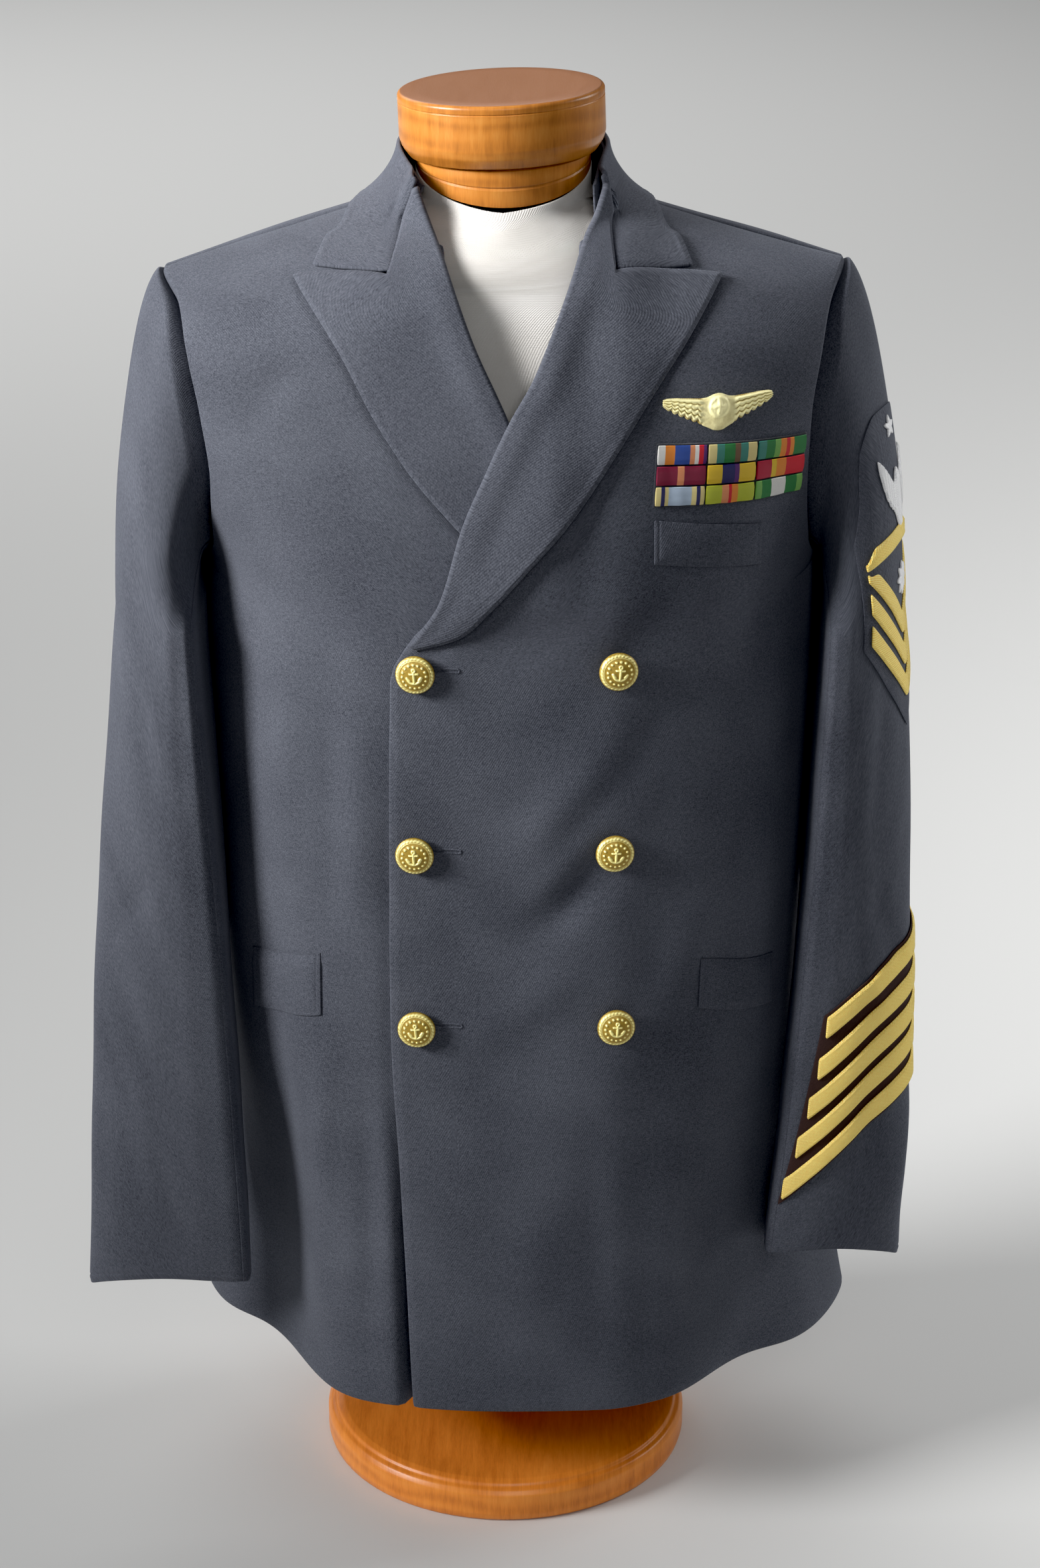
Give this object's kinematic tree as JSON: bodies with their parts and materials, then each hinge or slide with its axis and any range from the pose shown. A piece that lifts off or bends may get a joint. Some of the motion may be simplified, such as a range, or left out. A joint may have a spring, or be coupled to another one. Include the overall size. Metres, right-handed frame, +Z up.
{
  "type": "naval dress jacket on dress form",
  "caption": "Double-breasted naval dress jacket with peak lapels, gilt buttons and sleeve badges, filled out on a limbless dress form that stands on a round wooden base.",
  "frame": {"origin": "centre of the base's underside, on the surface that the form stands on", "axes": "+Z up; the jacket's front faces -Y and the wearer's left is +X"},
  "size_m": [0.5103, 0.2608, 0.8771],
  "materials": {
    "badge_felt": "dark felt backing",
    "black_wool": "fine blue-black worsted wool with a soft nap",
    "gilt_badge": "struck gilt badge, satin",
    "gilt_brass": "domed gilt buttons, polished and slightly worn",
    "gold_thread": "gold wire lace, fine diagonal stitches",
    "ribbon_bar": "dark bar behind the ribbons",
    "ribbon_silk_1_1": "striped corded silk ribbon",
    "ribbon_silk_1_2": "striped corded silk ribbon",
    "ribbon_silk_1_3": "striped corded silk ribbon",
    "ribbon_silk_2_1": "striped corded silk ribbon",
    "ribbon_silk_2_2": "striped corded silk ribbon",
    "ribbon_silk_2_3": "striped corded silk ribbon",
    "ribbon_silk_3_1": "striped corded silk ribbon",
    "ribbon_silk_3_2": "striped corded silk ribbon",
    "ribbon_silk_3_3": "striped corded silk ribbon",
    "silver_thread": "silver-white satin stitch",
    "varnished_wood": "orange-brown varnished hardwood",
    "white_jersey": "matt off-white knitted jersey cover"
  },
  "bodies": {
    "root": {"back_left": "black_wool", "back_right": "black_wool", "button_1": "gilt_brass", "button_2": "gilt_brass", "button_3": "gilt_brass", "button_4": "gilt_brass", "button_5": "gilt_brass", "button_6": "gilt_brass", "collar_fall": "black_wool", "collar_stand": "black_wool", "form_base": "varnished_wood", "form_neck_block": "varnished_wood", "form_neck_plug": "varnished_wood", "form_post": "varnished_wood", "form_torso": "white_jersey", "front_left": "black_wool", "front_right": "black_wool", "lapel_left": "black_wool", "lapel_right": "black_wool", "rank_arc": "gold_thread", "rank_backing": "badge_felt", "rank_bird": "silver_thread", "rank_chevron_1": "gold_thread", "rank_chevron_2": "gold_thread", "rank_chevron_3": "gold_thread", "rank_mark": "silver_thread", "rank_star": "silver_thread", "ribbon_1_1": "ribbon_silk_1_1", "ribbon_1_2": "ribbon_silk_1_2", "ribbon_1_3": "ribbon_silk_1_3", "ribbon_2_1": "ribbon_silk_2_1", "ribbon_2_2": "ribbon_silk_2_2", "ribbon_2_3": "ribbon_silk_2_3", "ribbon_3_1": "ribbon_silk_3_1", "ribbon_3_2": "ribbon_silk_3_2", "ribbon_3_3": "ribbon_silk_3_3", "ribbon_holder": "ribbon_bar", "service_stripe_1": "gold_thread", "service_stripe_2": "gold_thread", "service_stripe_3": "gold_thread", "service_stripe_4": "gold_thread", "service_stripe_5": "gold_thread", "sleeve_top_left": "black_wool", "sleeve_top_right": "black_wool", "sleeve_under_left": "black_wool", "sleeve_under_right": "black_wool", "stripe_backing": "badge_felt", "welt_breast": "black_wool", "welt_hip_left": "black_wool", "welt_hip_right": "black_wool", "wings_badge": "gilt_badge"}
  },
  "joints": []
}
